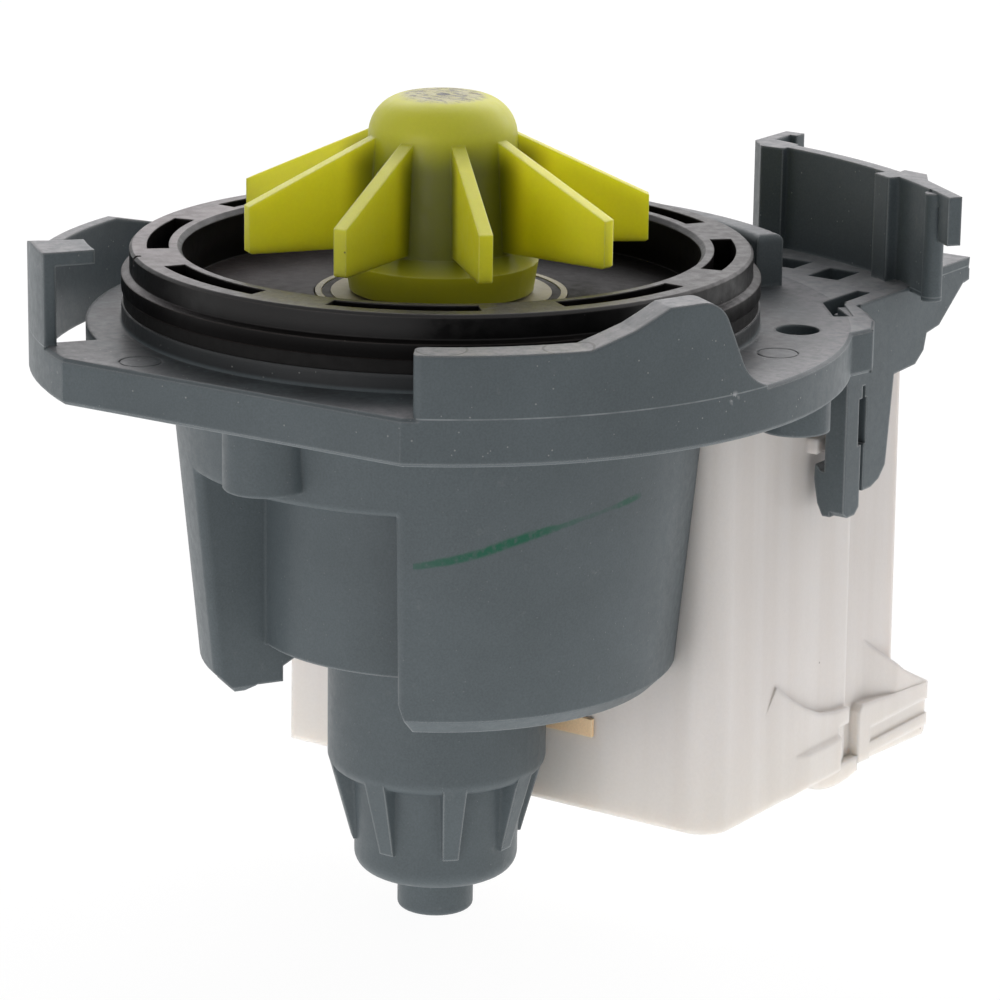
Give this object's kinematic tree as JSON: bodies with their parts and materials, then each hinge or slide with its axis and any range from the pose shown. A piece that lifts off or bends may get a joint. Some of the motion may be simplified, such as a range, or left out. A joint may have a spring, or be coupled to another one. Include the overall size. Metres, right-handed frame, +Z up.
{
  "type": "dishwasher drain pump",
  "caption": "Bayonet drain pump with radial impeller, bowl, canned rotor and boxed coil, with a rear plug socket.",
  "frame": {"origin": "on the impeller axis, at the top face of the flange, where the collar starts", "axes": "+Z up the impeller axis out of the bowl; +Y from the rotor can to the coil casing and the plug socket"},
  "size_m": [0.09, 0.1019, 0.0933],
  "materials": {
    "grey_plastic": "fine moulded satin",
    "black_plastic": "satin, lightly brushed",
    "black_rubber": "matt",
    "pale_plastic": "satin",
    "bearing": "ground",
    "steel": "ground",
    "ferrite": "ground dark ferrite",
    "rotor_plastic": "moulded",
    "impeller_plastic": "satin, slightly translucent",
    "core_steel": "laminated sheet edges",
    "bobbin_plastic": "moulded",
    "copper": "enamelled wire",
    "fuse_metal": "bare",
    "white_plastic": "moulded satin",
    "tinned_metal": "tinned",
    "tan_fibre": "pressed insulation fibre"
  },
  "bodies": {
    "housing": {"pump_housing": "grey_plastic", "chamber_cover": "black_plastic", "cover_seal": "black_rubber", "bearing_carrier": "pale_plastic", "carrier_ring": "black_rubber", "shaft_seal": "black_rubber", "front_bearing": "bearing", "front_bearing_seat": "black_rubber", "rear_bearing": "bearing", "rear_bearing_seat": "black_rubber", "core_leg_right": "core_steel", "core_leg_left": "core_steel", "core_yoke": "core_steel", "bobbin_right": "bobbin_plastic", "bobbin_left": "bobbin_plastic", "winding_right": "copper", "winding_left": "copper", "thermal_fuse": "fuse_metal", "coil_casing": "white_plastic", "coil_cover": "white_plastic", "terminal_blades": "tinned_metal", "insulation_tongue": "tan_fibre"},
    "rotor": {"shaft": "steel", "rotor_magnet": "ferrite", "rotor_carrier": "rotor_plastic", "front_thrust_washer": "bearing", "rear_thrust_washer": "bearing", "drive_dog": "rotor_plastic"},
    "impeller": {"impeller": "impeller_plastic", "dog_bumper": "black_rubber", "hub_retainer": "impeller_plastic"}
  },
  "joints": [
    {"name": "rotor_spin", "type": "hinge", "parent": "housing", "child": "rotor", "pos_m": [0, 0, 0], "axis": [0, 0, 1], "continuous": true},
    {"name": "impeller_slip", "type": "hinge", "parent": "rotor", "child": "impeller", "pos_m": [0, 0, 0], "axis": [0, 0, 1], "range_deg": [-89, 89]}
  ]
}
